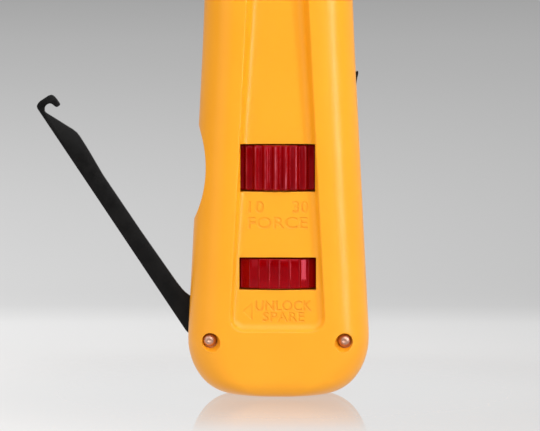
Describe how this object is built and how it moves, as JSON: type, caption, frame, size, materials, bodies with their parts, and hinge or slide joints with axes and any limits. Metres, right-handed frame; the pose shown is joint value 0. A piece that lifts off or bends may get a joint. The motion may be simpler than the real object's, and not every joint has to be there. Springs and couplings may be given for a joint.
{
  "type": "punch down tool",
  "caption": "Impact punch down tool with a tapered two-shell grip, two thumb wheels, a twist-lock blade, stored spare blade, fold-out wire hook and spudger.",
  "frame": {"origin": "centre of the butt end, on the tool's long axis, where the stored blade's shank ends flush", "axes": "+Z along the tool from the butt to the blade tip, -Y the face with the thumb wheels, +X to the right of that face"},
  "size_m": [0.0695, 0.026, 0.1882],
  "materials": {
    "yellow_plastic": "injection moulded yellow-orange plastic, satin with a fine moulded grain",
    "red_plastic": "deep red glossy plastic with fluted rim",
    "black_steel": "black oxide spring steel, edges slightly worn",
    "steel": "plated steel",
    "spring_steel": "drawn spring wire",
    "brass": "turned brass",
    "blade_steel": "ground tool steel",
    "black_plastic": "black moulded plastic"
  },
  "bodies": {
    "housing": {"front_shell": "yellow_plastic", "rear_shell": "yellow_plastic", "hook_rivet": "steel", "spudger_rivet": "steel", "guard_screw_left": "steel", "guard_screw_right": "steel", "hook_friction_washer": "spring_steel", "spudger_friction_washer": "spring_steel", "thrust_washer": "steel", "impact_detent_ball": "steel", "impact_detent_spring": "spring_steel", "release_detent_ball": "steel", "release_detent_spring": "spring_steel", "mechanism_tube": "steel", "main_spring": "spring_steel", "nose_bushing": "brass", "nose_cap": "black_plastic", "storage_sleeve": "steel"},
    "hook": {"wire_hook": "black_steel"},
    "spudger": {"spudger": "black_steel"},
    "impact_wheel": {"impact_wheel": "red_plastic"},
    "preload_nut": {"preload_nut": "brass"},
    "release_wheel": {"release_wheel": "red_plastic"},
    "spare_blade": {"spare_blade": "blade_steel"},
    "plunger": {"plunger": "steel", "plunger_stem": "steel", "bayonet_pin": "steel"},
    "hammer": {"hammer": "steel", "latch_spring": "spring_steel", "return_spring": "spring_steel"},
    "latch": {"latch_slide": "brass"},
    "working_blade": {"working_blade": "blade_steel", "working_blade_cutter": "blade_steel"}
  },
  "joints": [
    {"name": "hook_pivot", "type": "hinge", "parent": "housing", "child": "hook", "pos_m": [-0.01395, 0, 0.01145], "axis": [0, 1, 0], "range_deg": [-56, 35.3]},
    {"name": "spudger_pivot", "type": "hinge", "parent": "housing", "child": "spudger", "pos_m": [0.01395, 0, 0.01145], "axis": [0, 1, 0], "range_deg": [0, 95]},
    {"name": "impact_wheel_turn", "type": "hinge", "parent": "housing", "child": "impact_wheel", "pos_m": [0, 0, 0.0479], "axis": [0, 0, 1], "range_deg": [0, 720]},
    {"name": "preload_nut_slide", "type": "slide", "parent": "housing", "child": "preload_nut", "axis": [0, 0, 1], "range_m": [0, 0.004], "deforming": ["main_spring"]},
    {"name": "release_wheel_turn", "type": "hinge", "parent": "housing", "child": "release_wheel", "pos_m": [0, 0, 0.0257], "axis": [0, 0, 1], "range_deg": [0, 90]},
    {"name": "spare_blade_slide", "type": "slide", "parent": "housing", "child": "spare_blade", "axis": [0, 0, 1], "range_m": [-0.04, 0]},
    {"name": "plunger_slide", "type": "slide", "parent": "housing", "child": "plunger", "axis": [0, 0, 1], "range_m": [-0.012, 0], "stiffness_N_per_m": 1500, "springref_m": 0.008},
    {"name": "hammer_slide", "type": "slide", "parent": "housing", "child": "hammer", "axis": [0, 0, 1], "range_m": [-0.012, 0], "deforming": ["main_spring"]},
    {"name": "latch_shift", "type": "slide", "parent": "hammer", "child": "latch", "axis": [1, 0, 0], "range_m": [0, 0.0026], "stiffness_N_per_m": 200, "springref_m": -0.002, "deforming": ["latch_spring"]},
    {"name": "blade_twist", "type": "hinge", "parent": "plunger", "child": "working_blade", "pos_m": [0, 0, 0.161], "axis": [0, 0, 1], "range_deg": [0, 90]}
  ],
  "couplings": [
    {"joint": "impact_wheel_turn", "follows": "preload_nut_slide", "rad_per_m": 3141.6},
    {"joint": "hammer_slide", "follows": "plunger_slide", "ratio": 1}
  ]
}
